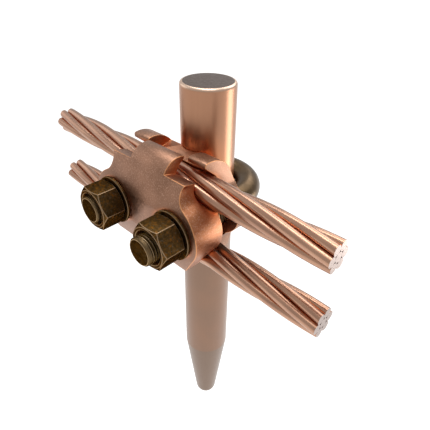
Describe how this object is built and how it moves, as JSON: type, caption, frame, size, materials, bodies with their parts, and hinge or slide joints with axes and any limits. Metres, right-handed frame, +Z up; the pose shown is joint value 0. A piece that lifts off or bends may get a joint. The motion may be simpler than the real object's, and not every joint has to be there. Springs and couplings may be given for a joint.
{
  "type": "earth rod clamp",
  "caption": "Bolted clamp that joins parallel stranded conductors to an earth rod: cast saddles drawn together by a U-bolt, with stubs of rod and conductor.",
  "frame": {"origin": "on the rod's axis, midway between the two conductors, which is the height of the U-bolt", "axes": "+X along the conductors to the viewer's right, +Y from the nuts to the bend of the U-bolt, +Z up the rod"},
  "size_m": [0.1267, 0.0627, 0.164],
  "materials": {
    "rod_copper": "drawn, satin",
    "strand_copper": "drawn, bright",
    "cast_copper": "sand cast, matt",
    "dark_bronze": "oxidised",
    "smooth_bronze": "smooth, brown"
  },
  "bodies": {
    "rod_and_conductors": {"earth_rod": "rod_copper", "u_bolt": "smooth_bronze", "back_saddle": "cast_copper", "upper_conductor_core": "strand_copper", "upper_conductor_strand_1": "strand_copper", "upper_conductor_strand_2": "strand_copper", "upper_conductor_strand_3": "strand_copper", "upper_conductor_strand_4": "strand_copper", "upper_conductor_strand_5": "strand_copper", "upper_conductor_strand_6": "strand_copper", "lower_conductor_core": "strand_copper", "lower_conductor_strand_1": "strand_copper", "lower_conductor_strand_2": "strand_copper", "lower_conductor_strand_3": "strand_copper", "lower_conductor_strand_4": "strand_copper", "lower_conductor_strand_5": "strand_copper", "lower_conductor_strand_6": "strand_copper"},
    "front_jaw": {"front_saddle": "cast_copper", "washer_right": "dark_bronze", "washer_left": "dark_bronze"},
    "nut_right": {"nut_right": "dark_bronze"},
    "nut_left": {"nut_left": "dark_bronze"}
  },
  "joints": [
    {"name": "jaw_slide", "type": "slide", "parent": "rod_and_conductors", "child": "front_jaw", "axis": [0, -1, 0], "range_m": [0, 0.004]},
    {"name": "nut_right_turn", "type": "hinge", "parent": "front_jaw", "child": "nut_right", "pos_m": [0.01469, -0.03604, 0], "axis": [0, -1, 0], "range_deg": [0, 910]},
    {"name": "nut_left_turn", "type": "hinge", "parent": "front_jaw", "child": "nut_left", "pos_m": [-0.01469, -0.03604, 0], "axis": [0, -1, 0], "range_deg": [0, 910]}
  ],
  "couplings": [
    {"joint": "nut_right_turn", "follows": "jaw_slide", "rad_per_m": 3957.9},
    {"joint": "nut_left_turn", "follows": "jaw_slide", "rad_per_m": 3957.9}
  ]
}
